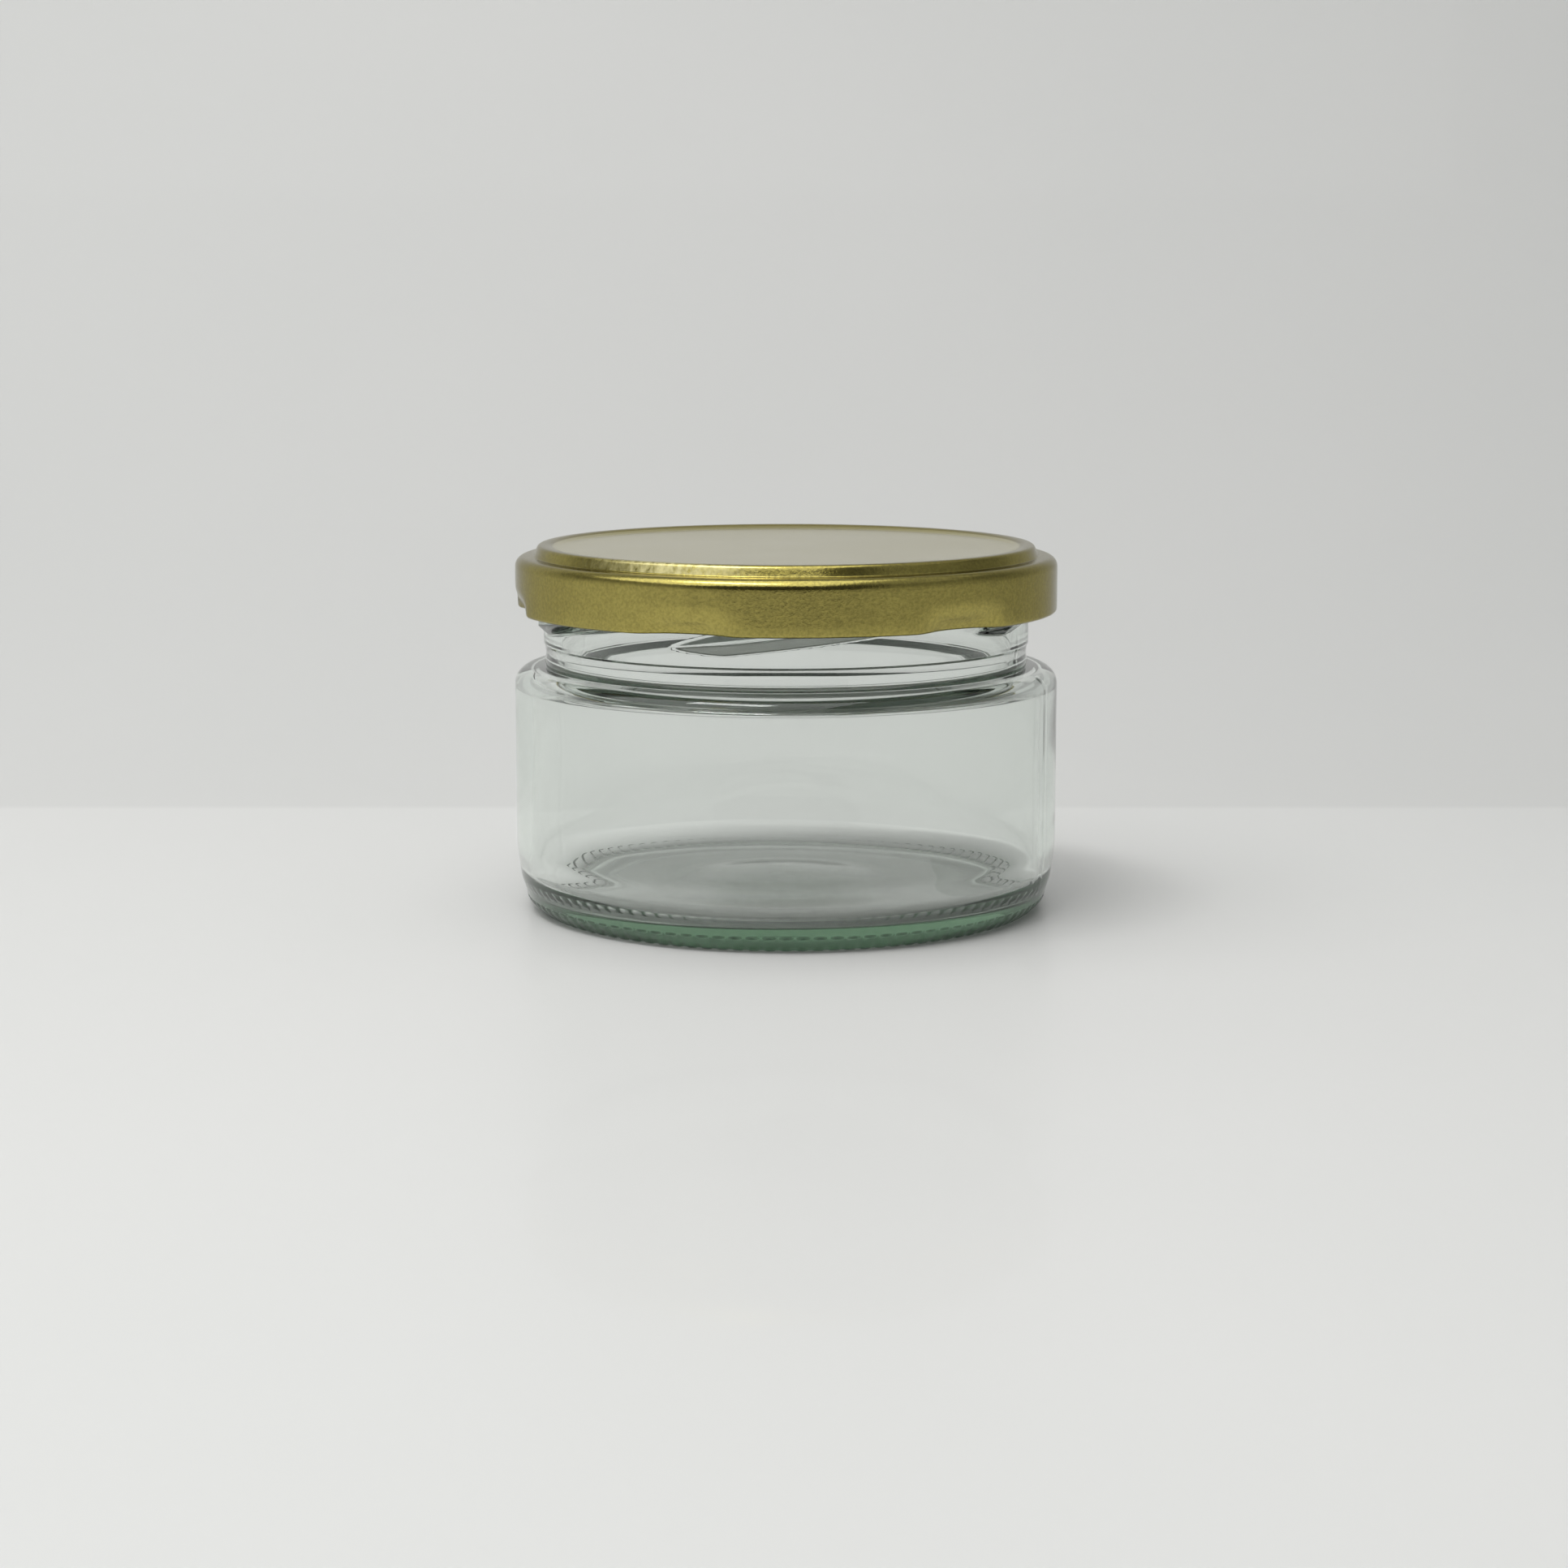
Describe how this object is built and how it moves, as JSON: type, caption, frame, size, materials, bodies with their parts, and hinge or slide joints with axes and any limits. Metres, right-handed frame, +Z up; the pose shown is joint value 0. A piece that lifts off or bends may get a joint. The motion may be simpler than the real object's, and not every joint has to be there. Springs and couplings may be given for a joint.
{
  "type": "glass storage jar",
  "caption": "Squat round glass jar with a rounded shoulder and a screw-thread neck, closed by a stepped gold tinplate twist-off lid with a sealing ring.",
  "frame": {"origin": "centre of the circle the jar stands on, at table level", "axes": "+Z up along the jar's axis; -Y is the side seen from the front; +X to the right of that view"},
  "size_m": [0.086, 0.086, 0.0577],
  "materials": {
    "glass": "clear moulded soda-lime glass with a faint green tint, polished",
    "gold_tinplate": "tinplate under a clear gold lacquer, glossy with a fine orange-peel grain",
    "sealing_compound": "soft off-white plastisol, satin"
  },
  "bodies": {
    "jar": {"glass_jar": "glass"},
    "ring": {"sealing_ring": "sealing_compound"},
    "lid": {"lid_shell": "gold_tinplate"}
  },
  "joints": [
    {"name": "lid_rise", "type": "slide", "parent": "jar", "child": "ring", "axis": [0, 0, 1], "range_m": [0, 0.0291]},
    {"name": "lid_turn", "type": "hinge", "parent": "ring", "child": "lid", "pos_m": [0, 0, 0.0477], "axis": [0, 0, 1], "range_deg": [0, 360]}
  ],
  "couplings": [
    {"joint": "lid_rise", "follows": "lid_turn", "m_per_rad": 0.0046155}
  ]
}
